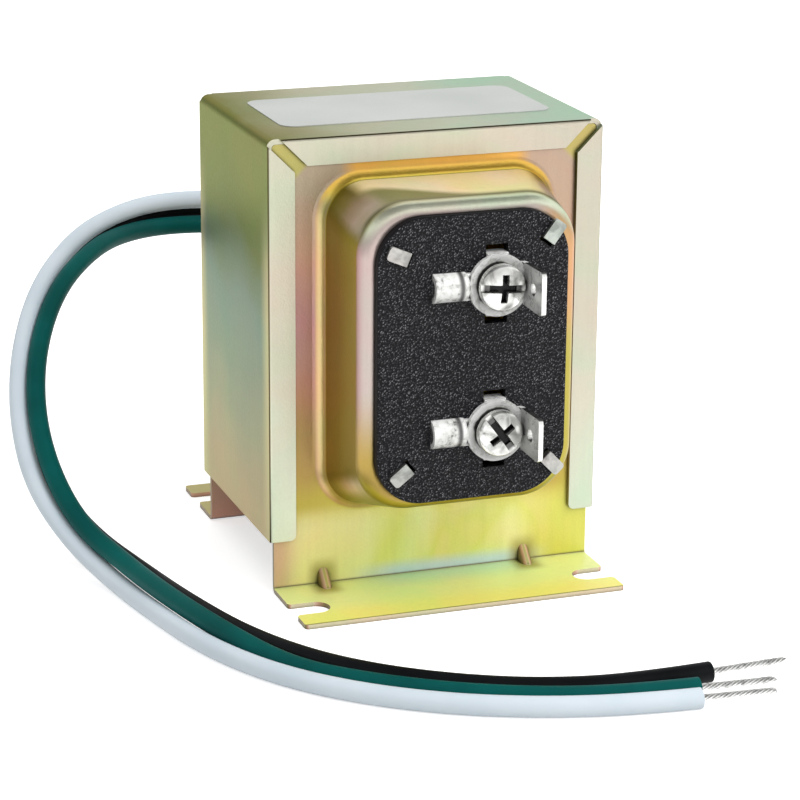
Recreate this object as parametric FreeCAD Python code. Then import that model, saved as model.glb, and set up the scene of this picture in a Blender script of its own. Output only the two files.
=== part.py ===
"""Doorbell transformer: a folded sheet casing and two domed covers round a laminated core and its coil.

Millimetres. X runs across the front, Y from front to back and Z up. The origin lies on the mounting
surface, in the middle of the four foot slots.
"""
import FreeCAD, Part
import math
import os
from FreeCAD import Placement, Rotation, Vector

os.makedirs("parts", exist_ok=True)

# Sheet steel of the casing and the covers
sheet = 0.8
fold_radius = 0.4
fit_gap = 0.1

# Laminated core, with its centre leg along X
core_width = 55.0
core_height = 66.0
stack_depth = 36.6
centre_leg = 22.0
outer_leg = 11.0
core_yoke = 11.0
core_bar = 11.0

# Casing wrap: top and two sides, with lips folded over both covers
casing_overhang = 0.6
casing_side_gap = 0.65
casing_top_gap = 0.4
lip_width = 4.5
lip_corner = 1.0
lip_fold = 0.2
lip_fold_outer = 0.45
corner_fold = 0.7
mitre_gap = 2.2
mitre_shift = 0.4

# Legs and feet of the covers
stand_height = 9.3
foot_reach = 17.2
foot_corner = 0.7
slot_width = 4.8
slot_depth = 6.4
slot_line = 10.1
dart_pitch = 36.0
dart_shift = -1.5
dart_rise = 3.3
dart_width = 1.9

# Domes drawn out of the covers, with their room round the coil and the draft of their walls
dome_side_room = 2.6
dome_top_room = 4.5
dome_bottom_room = 5.8
dome_front_room = 5.6
dome_side_draft = 1.4
dome_top_draft = 1.2
dome_bottom_draft = 3.8
dome_edge = 2.1
dome_base = 1.8
dome_base_corner = 6.5
dome_front_corner = 9.0

# Window in the front dome and the tabs that hold the board, with the way each tab is bent over
window_width = 26.6
window_height = 39.2
window_corner = 4.0
window_shift = 1.1
tab_width = 2.3
tab_reach = 3.0
tab_corner = 0.6
tab_slot_spare = 0.5
tab_bends = [(-1, 1, 157.0), (1, 1, 53.0), (-1, -1, 218.0), (1, -1, 314.0)]

# Terminal board
board_side_inset = 2.1
board_top_inset = 1.8
board_bottom_inset = 1.25
board_corner = 8.0
board_thick = 1.6
board_edge = 0.3

# Terminal plates
terminal_sheet = 0.8
terminal_shift = 3.8
terminal_pitch = 24.2
terminal_drop = 0.35
seat_radius = 5.1
seat_flat = 4.0
seat_rise = 0.5
claw_width = 3.6
claw_fold = 2.0
claw_slot_spare = 1.4
lug_reach = 10.9
lug_length = 5.9
lug_width = 4.8
lug_height = 2.1
lug_round = 0.7
neck_width = 4.4
ear_gap = 0.3
ear_foot = 6.8
ear_tip = 7.2
ear_reach = 8.2
ear_corner = 0.8
ear_fold = 0.7
ear_hole = 2.1
ear_hole_place = 4.6
collar_wall = 0.8
collar_reach = 0.6

# Terminal screws, backed off for a wire, with the turn of each one's drive slot, upper first
screw_shank = 3.4
screw_play = 0.05
screw_reach = 3.2
screw_lift = 1.2
head_width = 7.6
head_rim = 1.35
head_rise = 2.0
head_round = 0.6
drive_slot = 1.3
drive_slot_depth = 1.1
cross_width = 1.15
cross_length = 4.6
cross_depth = 1.5
drive_turns = [4.0, 54.0]

# Wires from the coil to the terminals, and the solder round them
wire_width = 1.0
wire_play = 0.3
wire_place = 8.2
wire_share = 0.6

# Rating label on top, left blank
label_width = 47.2
label_depth = 22.4
label_corner = 2.6
label_thick = 0.12

# Bobbin and coil
bobbin_wall = 1.0
bobbin_flange = 1.2
bobbin_play = 0.2
flange_overhang = 10.5
flange_corner = 3.0
winding_inset = 0.8
winding_corner = 5.0
tape_thick = 0.4

# Bushing in the rear dome, where the leads come out
bushing_rise = 3.05
bushing_play = 0.2
bushing_wall = 1.4
bushing_flange = 14.2
bushing_flange_thick = 1.8
bushing_flange_round = 0.7
bushing_barb = 0.5
bushing_barb_thick = 1.0

# Leads
lead_width = 3.3
lead_gap = 0.25
lead_angles = {"white": 120.0, "green": 240.0, "black": 0.0}
lead_entry = 2.0
lead_straight = 7.0
lead_arc_share = 0.45
conductor_width = 1.2
bare_lengths = {"white": 12.4, "green": 12.9, "black": 13.4}

# Joints inside the rear dome
splice_length = 11.0
cutout_length = 11.0
cutout_width = 3.6
cutout_round = 0.6
cutout_drop = 12.0
tag_sheet = 0.6
tag_width = 3.6
tag_seat = 5.0

# Places that follow from the sizes above
core_face = stack_depth / 2
core_bottom = stand_height + casing_overhang
core_middle = core_bottom + core_height / 2
core_left = -core_width / 2
window_left = core_left + core_yoke
window_right = core_width / 2 - core_bar
window_drop = (core_height - centre_leg - 2 * outer_leg) / 2
bobbin_ends = (window_left + bobbin_play, window_right - bobbin_play)
bobbin_middle = (bobbin_ends[0] + bobbin_ends[1]) / 2
leg_hole = (core_face + bobbin_play, centre_leg / 2 + bobbin_play)
tube_outside = (leg_hole[0] + bobbin_wall, leg_hole[1] + bobbin_wall)
flange_outside = (core_face + flange_overhang, centre_leg / 2 + window_drop - bobbin_play)
tape_outside = (flange_outside[0] - winding_inset, flange_outside[1] - winding_inset)
winding_outside = (tape_outside[0] - tape_thick, tape_outside[1] - tape_thick)
cover_back = core_face + fit_gap
cover_face = cover_back + sheet
lip_face = cover_face + fit_gap + sheet
casing_width = core_width + 2 * (casing_side_gap + sheet)
casing_top = core_bottom + core_height + casing_top_gap + sheet
cover_width = casing_width - 2 * (sheet + fit_gap)
fold_outer = fold_radius + sheet
plate_top = casing_top - sheet - fit_gap
dome_width = bobbin_ends[1] - bobbin_ends[0] + 2 * (dome_side_room + sheet)
dome_height = 2 * (flange_outside[1] + sheet) + dome_top_room + dome_bottom_room
dome_middle = core_middle + (dome_top_room - dome_bottom_room) / 2
dome_front_width = dome_width - 2 * dome_side_draft
dome_front_height = dome_height - dome_top_draft - dome_bottom_draft
dome_front_middle = dome_middle + (dome_bottom_draft - dome_top_draft) / 2
plateau_back = flange_outside[0] + dome_front_room
plateau = plateau_back + sheet
board_width = dome_front_width - 2 * board_side_inset
board_height = dome_front_height - board_top_inset - board_bottom_inset
board_middle = dome_front_middle + (board_bottom_inset - board_top_inset) / 2
board_face = plateau + board_thick
bushing_middle = dome_front_middle + bushing_rise
lead_spread = (lead_width + lead_gap) / math.sqrt(3)
bushing_bore = 2 * (lead_spread + lead_width / 2 + bushing_play)
lead_start = plateau_back - lead_entry
lead_out = plateau + lead_straight
lead_rest = lead_width / 2
terminal_middle = dome_front_middle - terminal_drop
seat_middles = [terminal_middle + terminal_pitch / 2, terminal_middle - terminal_pitch / 2]
tiny = 1e-4


def lead_root(colour):
    """First two points of a lead's route: straight out of the bushing, beside the other leads."""
    angle = math.radians(lead_angles[colour])
    x = lead_spread * math.cos(angle)
    z = bushing_middle + lead_spread * math.sin(angle)
    return [(x, lead_start, z), (x, lead_out, z)]


# Routes of the leads, from the inner end to the cut end of the insulation
white_route = lead_root("white") + [
    (-5.3, 52.6, 48.4), (-14.8, 59.5, 48.9), (-26.4, 59.8, 49.0), (-35.9, 54.6, 48.4), (-45.2, 46.3, 46.6),
    (-54.1, 36.7, 41.1), (-60.0, 26.8, 32.6), (-62.6, 17.9, 23.2), (-62.2, 9.2, 13.7), (-57.9, 0.4, 6.0),
    (-52.9, -9.9, lead_rest), (-50.4, -23.8, lead_rest), (-46.5, -41.0, lead_rest),
    (-39.6, -55.7, lead_rest), (-29.9, -66.9, lead_rest), (-17.7, -75.6, lead_rest),
    (-4.2, -81.4, lead_rest), (9.3, -84.6, lead_rest), (18.9, -85.4, lead_rest),
]
green_route = lead_root("green") + [
    (-5.2, 51.6, 44.6), (-14.1, 58.1, 44.3), (-25.0, 58.5, 44.7), (-34.1, 53.2, 45.2), (-42.3, 44.3, 45.1),
    (-51.2, 34.7, 41.0), (-57.3, 24.9, 33.3), (-59.9, 16.2, 24.6), (-59.4, 7.7, 16.1), (-56.3, -0.5, 8.7),
    (-51.3, -10.2, 5.0), (-48.4, -23.9, 4.4), (-43.6, -40.2, 3.6), (-36.4, -54.0, lead_rest),
    (-27.2, -63.6, lead_rest), (-15.7, -71.8, lead_rest), (-2.9, -77.8, lead_rest), (9.9, -80.9, lead_rest),
    (20.3, -81.6, lead_rest),
]
black_route = lead_root("black") + [
    (-2.1, 55.2, 46.4), (-12.9, 62.2, 46.2), (-25.6, 62.2, 46.3), (-36.2, 56.5, 45.4), (-45.1, 47.9, 43.5),
    (-53.1, 38.1, 38.1), (-58.0, 28.3, 30.0), (-60.0, 19.6, 21.2), (-58.8, 11.1, 12.7), (-53.9, 1.9, 5.9),
    (-47.2, -7.2, lead_rest), (-44.2, -21.6, lead_rest), (-39.4, -38.6, lead_rest),
    (-32.7, -51.7, lead_rest), (-24.4, -61.2, lead_rest), (-13.9, -68.9, lead_rest),
    (-2.0, -74.5, lead_rest), (11.5, -77.1, lead_rest), (24.6, -76.5, lead_rest),
]


def box(x0, x1, y0, y1, z0, z1):
    return Part.makeBox(x1 - x0, y1 - y0, z1 - z0, Vector(x0, y0, z0))


def rod(radius, start, end):
    start, end = Vector(*start), Vector(*end)
    return Part.makeCylinder(radius, (end - start).Length, start, end - start)


def rounded_outline(width, height, radius):
    """Closed outline in the XY plane, about the origin: straight sides joined by quarter arcs."""
    half_w, half_h = width / 2, height / 2
    edges = []
    for turn in range(4):
        across, along = (half_w, half_h) if turn % 2 == 0 else (half_h, half_w)
        side = Part.makeLine(Vector(across, -along + radius, 0), Vector(across, along - radius, 0))
        middle = Vector(across - radius, along - radius, 0)
        bend = Part.makeCircle(radius, middle, Vector(0, 0, 1), 0, 90)
        for edge in (side, bend):
            edge.rotate(Vector(0, 0, 0), Vector(0, 0, 1), 90 * turn)
            edges.append(edge)
    return Part.Wire(Part.__sortEdges__(edges))


def upright(outline, x, y, z):
    """Stands an outline up, so that its height runs along Z and it faces the front."""
    placed = outline.copy()
    placed.Placement = Placement(Vector(x, y, z), Rotation(Vector(1, 0, 0), 90))
    return placed


def front_slab(width, height, radius, y_back, y_front, x, z):
    """Flat piece with rounded corners, seen face on from the front."""
    outline = upright(rounded_outline(width, height, radius), x, -y_back, z)
    return Part.Face(outline).extrude(Vector(0, y_back - y_front, 0))


def edges_at(shape, x=None, y=None, z=None, inside=None):
    """Edges that keep the given coordinates all along, within a box if one is given."""
    found = []
    for edge in shape.Edges:
        bounds = edge.BoundBox
        low = (bounds.XMin, bounds.YMin, bounds.ZMin)
        high = (bounds.XMax, bounds.YMax, bounds.ZMax)
        kept = True
        for wanted, least, most in zip((x, y, z), low, high):
            if wanted is not None and max(abs(least - wanted), abs(most - wanted)) > tiny:
                kept = False
        if kept and (inside is None or inside.isInside(bounds)):
            found.append(edge)
    return found


def turned(shape):
    """The same piece at the back: half a turn about the vertical axis."""
    back = shape.copy()
    back.rotate(Vector(0, 0, 0), Vector(0, 0, 1), 180)
    return back


def casing_wrap():
    half_width = casing_width / 2

    def folded_block(inset, corner_radius, lip_radius, bottom):
        side, depth, top = half_width - inset, lip_face - inset, casing_top - inset
        block = box(-side, side, -depth, depth, bottom, top)
        corners = edges_at(block, x=-side, z=top) + edges_at(block, x=side, z=top)
        block = block.makeFillet(corner_radius, corners)
        folds = []
        for y in (-depth, depth):
            folds += [e for e in edges_at(block, y=y) if e.BoundBox.ZMax > bottom + tiny]
        return block.makeFillet(lip_radius, folds)

    shell = folded_block(0, corner_fold + sheet, lip_fold_outer, stand_height)
    shell = shell.cut(folded_block(sheet, corner_fold, lip_fold, stand_height - sheet))
    opening = half_width - lip_width
    reach = lip_face + sheet
    window = box(-opening, opening, -reach, reach, stand_height - sheet, casing_top - lip_width)
    shell = shell.cut(window)
    mitre_reach = 2 * lip_width
    for side in (-1, 1):
        for end in (-1, 1):
            depth = 2 * sheet + fit_gap / 2
            slot = box(-mitre_gap, mitre_reach, -depth / 2, depth / 2, -mitre_gap / 2, mitre_gap / 2)
            slot.translate(Vector(0, 0, -side * mitre_shift))
            slot.rotate(Vector(0, 0, 0), Vector(0, 1, 0), 45 if side < 0 else 135)
            slot.translate(Vector(side * half_width, end * (lip_face + sheet - depth / 2), casing_top))
            shell = shell.cut(slot)
    lip_ends = edges_at(shell, x=-opening, z=stand_height) + edges_at(shell, x=opening, z=stand_height)
    return shell.makeFillet(lip_corner, lip_ends)


def dome(inset, y_base, y_front):
    """Drawn form that narrows from its base to its flat front, that much inside its outer face."""
    width, height = dome_width - 2 * inset, dome_height - 2 * inset
    base = upright(rounded_outline(width, height, dome_base_corner - inset), 0, -y_base, dome_middle)
    width, height = dome_front_width - 2 * inset, dome_front_height - 2 * inset
    front = rounded_outline(width, height, dome_front_corner - inset)
    body = Part.makeLoft([base, upright(front, 0, -y_front, dome_front_middle)], True, True)
    return body.makeFillet(dome_edge - inset, edges_at(body, y=-y_front))


def foot_and_plate():
    """Flat of a cover with its leg folded out into a slotted foot."""
    half = cover_width / 2
    foot_edge = cover_face + foot_reach
    plate = box(-half, half, -cover_face, -cover_back, 0, plate_top)
    foot = box(-half, half, -foot_edge, -cover_back, 0, sheet)
    body = plate.fuse(foot).removeSplitter()
    body = body.makeFillet(fold_radius, edges_at(body, y=-cover_face, z=sheet))
    body = body.makeFillet(fold_outer, edges_at(body, y=-cover_back, z=0))
    top_corners = edges_at(body, x=-half, z=plate_top) + edges_at(body, x=half, z=plate_top)
    body = body.makeFillet(corner_fold, top_corners)
    slot_y = -(cover_face + slot_line)
    for side in (-1, 1):
        slot_end = half - slot_depth + slot_width / 2
        reach = sorted((side * slot_end, side * (half + sheet)))
        slot = box(*reach, slot_y - slot_width / 2, slot_y + slot_width / 2, -sheet, 2 * sheet)
        slot_x = side * slot_end
        round_end = rod(slot_width / 2, (slot_x, slot_y, -sheet), (slot_x, slot_y, 2 * sheet))
        body = body.cut(slot.fuse(round_end).removeSplitter())
    tips = []
    for x in (-half, half):
        for y in (-foot_edge, slot_y - slot_width / 2, slot_y + slot_width / 2):
            tips += edges_at(body, x=x, y=y)
    body = body.makeFillet(foot_corner, tips)
    for side in (-1, 1):
        body = body.fuse(dart(dart_shift + side * dart_pitch / 2))
    return body.removeSplitter()


def dart(x):
    """Pressed rib that stiffens the fold, with a rounded back."""
    inner = cover_face - sheet / 2
    corners = [Vector(0, -inner, sheet / 2), Vector(0, -inner, sheet + dart_rise),
               Vector(0, -cover_face - dart_rise, sheet / 2)]
    profile = Part.Face(Part.makePolygon(corners + corners[:1]))
    rib = profile.extrude(Vector(dart_width, 0, 0))
    slope = [e for e in rib.Edges if e.BoundBox.YLength > tiny and e.BoundBox.ZLength > tiny]
    rib = rib.makeFillet(dart_width / 2 - tiny, slope)
    rib.translate(Vector(x - dart_width / 2, 0, 0))
    return rib


def domed_cover():
    """A cover as both ends share it, standing at the front."""
    body = foot_and_plate().fuse(dome(0, cover_face, plateau)).removeSplitter()
    reach = FreeCAD.BoundBox(-dome_width / 2 - tiny, -plateau, dome_middle - dome_height / 2 - tiny,
                             dome_width / 2 + tiny, 0, dome_middle + dome_height / 2 + tiny)
    body = body.makeFillet(dome_base, edges_at(body, y=-cover_face, inside=reach))
    hollow = dome(sheet, cover_back, plateau_back)
    behind = box(-core_width / 2, core_width / 2, -cover_back, 0, core_bottom, plate_top)
    hollow = hollow.fuse(behind).removeSplitter()
    hollow = hollow.makeFillet(dome_base + sheet, edges_at(hollow, y=-cover_back, inside=reach))
    return body.cut(hollow)


def tab_frame(side, height, angle):
    """Where a tab stands: on the rounded corner of the window, pointing outwards at that angle."""
    middle_x = window_shift + side * (window_width / 2 - window_corner)
    middle_z = dome_front_middle + height * (window_height / 2 - window_corner)
    out = Vector(math.cos(math.radians(angle)), 0, math.sin(math.radians(angle)))
    root = Vector(middle_x, 0, middle_z) + out * window_corner
    return Placement(root, Rotation(Vector(0, 1, 0), -angle))


def holding_tab(side, height, angle):
    """Tab raised out of the window's edge, through the board and folded flat over it."""
    half = tab_width / 2
    stem = box(-sheet, 0, -board_face - sheet, -plateau_back, -half, half)
    cap = box(-sheet, tab_reach, -board_face - sheet, -board_face, -half, half)
    tab = stem.fuse(cap).removeSplitter()
    tab = tab.makeFillet(fold_radius / 2, edges_at(tab, x=-sheet, y=-board_face - sheet))
    tab = tab.makeFillet(tab_corner, edges_at(tab, x=tab_reach, z=-half) + edges_at(tab, x=tab_reach, z=half))
    tab.Placement = tab_frame(side, height, angle)
    return tab


def front_cover():
    window = front_slab(window_width, window_height, window_corner, plateau_back - sheet, plateau + sheet,
                        window_shift, dome_front_middle)
    body = domed_cover().cut(window)
    for bend in tab_bends:
        body = body.fuse(holding_tab(*bend))
    return body.removeSplitter()


def rear_cover():
    hole = rod(bushing_bore / 2 + bushing_wall + fit_gap, (0, plateau_back - sheet, bushing_middle),
               (0, plateau + sheet, bushing_middle))
    return turned(domed_cover()).cut(hole)


def lead_bushing():
    """Snap-in bushing: a rounded collar outside, a neck through the wall and a barb behind it."""
    inner = bushing_bore / 2
    neck = inner + bushing_wall
    outer = bushing_flange / 2
    back = plateau + bushing_flange_thick
    ledge = plateau_back - fit_gap
    nose = ledge - bushing_barb_thick
    outline = [(inner, nose), (neck, nose), (neck + bushing_barb, ledge), (neck, ledge), (neck, plateau),
               (outer, plateau), (outer, back), (inner, back)]
    points = [Vector(radius, y, 0) for radius, y in outline]
    ring = Part.Face(Part.makePolygon(points + points[:1])).revolve(Vector(0, 0, 0), Vector(0, 1, 0), 360)
    ring = ring.makeFillet(bushing_flange_round, edges_at(ring, y=back))
    ring.translate(Vector(0, 0, bushing_middle))
    return ring


def terminal_board():
    board = front_slab(board_width, board_height, board_corner, plateau, board_face, 0, board_middle)
    board = board.makeFillet(board_edge, edges_at(board, y=-board_face))
    back, front = -plateau + sheet, -board_face - sheet
    cuts = []
    for bend in tab_bends:
        half = tab_width / 2 + fit_gap
        slot = box(-sheet - tab_slot_spare, fit_gap, front, back, -half, half)
        slot.Placement = tab_frame(*bend)
        cuts.append(slot)
    for seat_z in seat_middles:
        collar = screw_shank / 2 + screw_play + collar_wall + fit_gap
        cuts.append(rod(collar, (terminal_shift, back, seat_z), (terminal_shift, front, seat_z)))
        wire_x = terminal_shift - wire_place
        cuts.append(rod(wire_width / 2 + wire_play, (wire_x, back, seat_z), (wire_x, front, seat_z)))
        half = claw_width / 2 + fit_gap
        for side in (-1, 1):
            low, high = sorted((seat_z + side * (seat_radius - terminal_sheet - fit_gap),
                                seat_z + side * (seat_radius + claw_slot_spare)))
            cuts.append(box(terminal_shift - half, terminal_shift + half, front, back, low, high))
    for cut in cuts:
        board = board.cut(cut)
    return board


def terminal_plate(seat_z):
    """Screw seat with a dished rim, a rolled solder lug, an ear and two claws clinched behind the board."""
    t = terminal_sheet
    under = -board_thick - t
    dish = [(0, 0), (seat_flat, 0), (seat_radius, seat_rise), (seat_radius, seat_rise + t), (seat_flat, t),
            (0, t)]
    points = [Vector(radius, -lift, 0) for radius, lift in dish]
    plate = Part.Face(Part.makePolygon(points + points[:1])).revolve(Vector(0, 0, 0), Vector(0, 1, 0), 360)
    hole = screw_shank / 2 + screw_play
    plate = plate.fuse(rod(hole + collar_wall, (0, -t / 2, 0), (0, board_thick + collar_reach, 0)))
    half_claw = claw_width / 2
    for side in (-1, 1):
        low, high = sorted((side * (seat_radius - t), side * seat_radius))
        claw = box(-half_claw, half_claw, -seat_rise, -under, low, high)
        low, high = sorted((side * (seat_radius - claw_fold), side * seat_radius))
        clinch = box(-half_claw, half_claw, board_thick, -under, low, high)
        plate = plate.fuse(claw).fuse(clinch)
    plate = plate.fuse(solder_lug(t)).fuse(spade_ear(t))
    plate = plate.cut(rod(hole, (0, -t - seat_rise, 0), (0, board_thick + collar_reach + t, 0)))
    plate.translate(Vector(terminal_shift, -board_face, seat_z))
    return plate.removeSplitter()


def bridge_section(inset):
    """Half-round section of the lug's bridge, at its open end, that much inside its outer face."""
    half = lug_width / 2 - inset
    left, right = Vector(-lug_reach, 0, -half), Vector(-lug_reach, 0, half)
    curve = Part.Arc(left, Vector(-lug_reach, inset - lug_height, 0), right).toShape()
    return Part.Face(Part.Wire([curve, Part.makeLine(right, left)]))


def bridge_hollow():
    return bridge_section(terminal_sheet).extrude(Vector(lug_length - terminal_sheet, 0, 0))


def solder_lug(t):
    """Strip from the seat, pressed up into a half-round bridge that is open at its far end."""
    bridge_end = -lug_reach + lug_length
    bridge = bridge_section(0).extrude(Vector(lug_length, 0, 0))
    crest = [e for e in edges_at(bridge, x=bridge_end) if e.BoundBox.YLength > tiny]
    bridge = bridge.makeFillet(lug_round, crest)
    neck = box(bridge_end - t, -seat_flat, -t, 0, -neck_width / 2, neck_width / 2)
    return bridge.fuse(neck).cut(bridge_hollow())


def spade_ear(t):
    """Ear bent forward at the end of the seat, wider at its tip, with a small hole."""
    inner = head_width / 2 + ear_gap
    outer = inner + t
    tip = -t - ear_reach
    half_foot, half_tip = ear_foot / 2, ear_tip / 2
    corners = [Vector(inner, 0, -half_foot), Vector(inner, tip, -half_tip), Vector(inner, tip, half_tip),
               Vector(inner, 0, half_foot)]
    ear = Part.Face(Part.makePolygon(corners + corners[:1])).extrude(Vector(t, 0, 0))
    ear = ear.makeFillet(ear_corner, edges_at(ear, y=tip, z=-half_tip) + edges_at(ear, y=tip, z=half_tip))
    hole_y = -t - ear_hole_place
    ear = ear.cut(rod(ear_hole / 2, (inner - t, hole_y, 0), (outer + t, hole_y, 0)))
    foot = box(0, outer, -t, 0, -half_foot, half_foot)
    bend = ear.fuse(foot).removeSplitter()
    return bend.makeFillet(ear_fold, edges_at(bend, x=outer, y=0))


def terminal_screw(seat_z, turn):
    """Pan-head screw with a slot and a cross, its head standing clear of its seat."""
    seat = terminal_sheet + screw_lift
    rim, crown = seat + head_rim, seat + head_rise
    half = head_width / 2
    tip = -board_thick - screw_reach
    shank = screw_shank / 2
    cap = crown - rim
    cap_radius = (half ** 2 + cap ** 2) / (2 * cap)
    halfway = crown - cap_radius + math.sqrt(cap_radius ** 2 - half ** 2 / 4)
    swell = Part.Arc(Vector(half, -rim, 0), Vector(half / 2, -halfway, 0), Vector(0, -crown, 0))
    path = [Vector(0, -crown, 0), Vector(0, -tip, 0), Vector(shank, -tip, 0), Vector(shank, -seat, 0),
            Vector(half, -seat, 0), Vector(half, -rim, 0)]
    sides = [Part.makeLine(a, b) for a, b in zip(path[:-1], path[1:])]
    screw = Part.Face(Part.Wire(sides + [swell.toShape()])).revolve(Vector(0, 0, 0), Vector(0, 1, 0), 360)
    screw = screw.makeFillet(head_round, edges_at(screw, y=-rim))
    slot = box(-half, half, -crown, -crown + drive_slot_depth, -drive_slot / 2, drive_slot / 2)
    reach, wing = cross_length / 2, cross_width / 2
    across = box(-reach, reach, -crown, -crown + cross_depth, -wing, wing)
    along = box(-wing, wing, -crown, -crown + cross_depth, -reach, reach)
    drive = slot.fuse(across).fuse(along)
    drive.rotate(Vector(0, 0, 0), Vector(0, 1, 0), turn)
    screw = screw.cut(drive)
    screw.translate(Vector(terminal_shift, -board_face, seat_z))
    return screw


def secondary_wire(seat_z):
    wire_x = terminal_shift - wire_place
    wire_tip = board_face + wire_share * (lug_height - terminal_sheet)
    return rod(wire_width / 2, (wire_x, -wire_tip, seat_z), (wire_x, -tape_outside[0], seat_z))


def solder_joint(seat_z):
    """Solder that fills the lug's bridge, round the wire."""
    joint = bridge_hollow()
    joint.translate(Vector(terminal_shift, -board_face, seat_z))
    return joint.cut(secondary_wire(seat_z))


def rating_label():
    outline = rounded_outline(label_width, label_depth, label_corner)
    label = Part.Face(outline).extrude(Vector(0, 0, label_thick))
    label.translate(Vector(0, 0, casing_top))
    return label


def core_e_stack():
    bottom, top = core_bottom, core_bottom + core_height
    block = box(core_left, window_right, -core_face, core_face, bottom, top)
    for low in (bottom + outer_leg, top - outer_leg - window_drop):
        block = block.cut(box(window_left, window_right, -core_face, core_face, low, low + window_drop))
    return block


def core_i_stack():
    return box(window_right, core_width / 2, -core_face, core_face, core_bottom, core_bottom + core_height)


def ring_round_leg(x0, x1, outer, inner, outer_corner, inner_corner):
    """Rounded ring round the centre leg. Outer and inner are half depth and half height."""
    solids = []
    for (half_depth, half_height), corner, spare in ((outer, outer_corner, 0), (inner, inner_corner, sheet)):
        outline = rounded_outline(2 * half_height, 2 * half_depth, corner)
        outline.rotate(Vector(0, 0, 0), Vector(0, 1, 0), 90)
        outline.translate(Vector(x0 - spare, 0, core_middle))
        solids.append(Part.Face(outline).extrude(Vector(x1 - x0 + 2 * spare, 0, 0)))
    return solids[0].cut(solids[1])


def bobbin():
    """Split bobbin: a tube on the centre leg with a flange at each end and one in the middle."""
    body = ring_round_leg(*bobbin_ends, tube_outside, leg_hole, bobbin_wall, bobbin_wall / 2)
    starts = (bobbin_ends[0], bobbin_middle - bobbin_flange / 2, bobbin_ends[1] - bobbin_flange)
    for start in starts:
        end = start + bobbin_flange
        body = body.fuse(ring_round_leg(start, end, flange_outside, leg_hole, flange_corner, bobbin_wall / 2))
    return body.removeSplitter()


def half_coil(side):
    """Winding in one half of the bobbin, and the tape round it."""
    if side < 0:
        span = (bobbin_ends[0] + bobbin_flange + fit_gap, bobbin_middle - bobbin_flange / 2 - fit_gap)
    else:
        span = (bobbin_middle + bobbin_flange / 2 + fit_gap, bobbin_ends[1] - bobbin_flange - fit_gap)
    winding = ring_round_leg(*span, winding_outside, tube_outside, winding_corner, bobbin_wall)
    tape = ring_round_leg(*span, tape_outside, winding_outside, winding_corner + tape_thick, winding_corner)
    return winding, tape


def splice_sleeves():
    """Sleeved joints between the coil and the white and black leads, lying on the coil."""
    rest = flange_outside[0] + fit_gap
    radius = (lead_start - fit_gap - rest) / 2
    middle = rest + radius
    white_x, _, white_z = white_route[0]
    black_z = black_route[0][2]
    start = white_z - lead_width / 2 + fit_gap
    upper = rod(radius, (white_x, middle, start), (white_x, middle, start + splice_length))
    start = white_x + radius + 2 * fit_gap
    side = rod(radius, (start, middle, black_z), (start + splice_length, middle, black_z))
    return Part.makeCompound([upper, side])


def thermal_cutout():
    """Sealed thermal link, strapped on the primary."""
    radius = cutout_width / 2
    middle = tape_outside[0] + fit_gap + radius
    level = core_middle - cutout_drop
    start = bobbin_middle + bobbin_flange
    body = rod(radius, (start, middle, level), (start + cutout_length, middle, level))
    return body.makeFillet(cutout_round, edges_at(body, x=start) + edges_at(body, x=start + cutout_length))


def ground_tag():
    """Cranked tag from the rear cover's wall to the end of the green lead."""
    lead_x, lead_y, lead_z = green_route[0]
    seat_top = bushing_middle - bushing_bore / 2 - bushing_wall - bushing_barb - 2 * fit_gap
    arm_face = lead_y - fit_gap
    arm_back = arm_face - tag_sheet
    left, right = lead_x - tag_width / 2, lead_x + tag_width / 2 - 2 * fit_gap
    wall = plateau_back - fit_gap
    seat = box(left, right, wall - tag_sheet, wall, seat_top - tag_seat, seat_top)
    step = box(left, right, arm_back, wall, seat_top - tag_seat, seat_top - tag_seat + tag_sheet)
    arm = box(left, right, arm_back, arm_face, seat_top - tag_seat, lead_z + lead_width / 4)
    return seat.fuse(step).fuse(arm).removeSplitter()


def lead(name, route):
    """Insulated lead along its route: straight runs joined by the largest tangent arcs that they allow."""
    points = [Vector(*p) for p in route]
    edges, radii = [], []
    last = points[0]
    for before, corner, after in zip(points[:-2], points[1:-1], points[2:]):
        back, on = before - corner, after - corner
        cut = lead_arc_share * min(back.Length, on.Length)
        back.normalize()
        on.normalize()
        turn = math.pi - back.getAngle(on)
        radius = cut / math.tan(turn / 2)
        radii.append(radius)
        start, end = corner + back * cut, corner + on * cut
        inward = back + on
        inward.normalize()
        nearest = corner + inward * (radius / math.cos(turn / 2) - radius)
        edges.append(Part.LineSegment(last, start).toShape())
        edges.append(Part.Arc(start, nearest, end).toShape())
        last = end
    edges.append(Part.LineSegment(last, points[-1]).toShape())
    path = Part.Wire(edges)
    section = Part.Wire(Part.makeCircle(lead_width / 2, points[0], points[1] - points[0]))
    tube = path.makePipeShell([section], True, False)
    expected = math.pi * lead_width ** 2 / 4 * path.Length
    print(f"{name} lead: length {path.Length:.1f}, volume {tube.Volume:.1f} of {expected:.1f}, radii",
          " ".join(f"{radius:.1f}" for radius in radii))
    return tube


def conductor(route, length):
    """Bare tinned end of a lead, with a blunt point."""
    before, end = Vector(*route[-2]), Vector(*route[-1])
    ahead = end - before
    ahead.normalize()
    radius = conductor_width / 2
    wire = Part.makeCylinder(radius, length, end, ahead)
    tip = [e for e in wire.Edges if (e.CenterOfMass - end).Length > length - tiny]
    return wire.makeFillet(radius / 2, tip)


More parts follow.
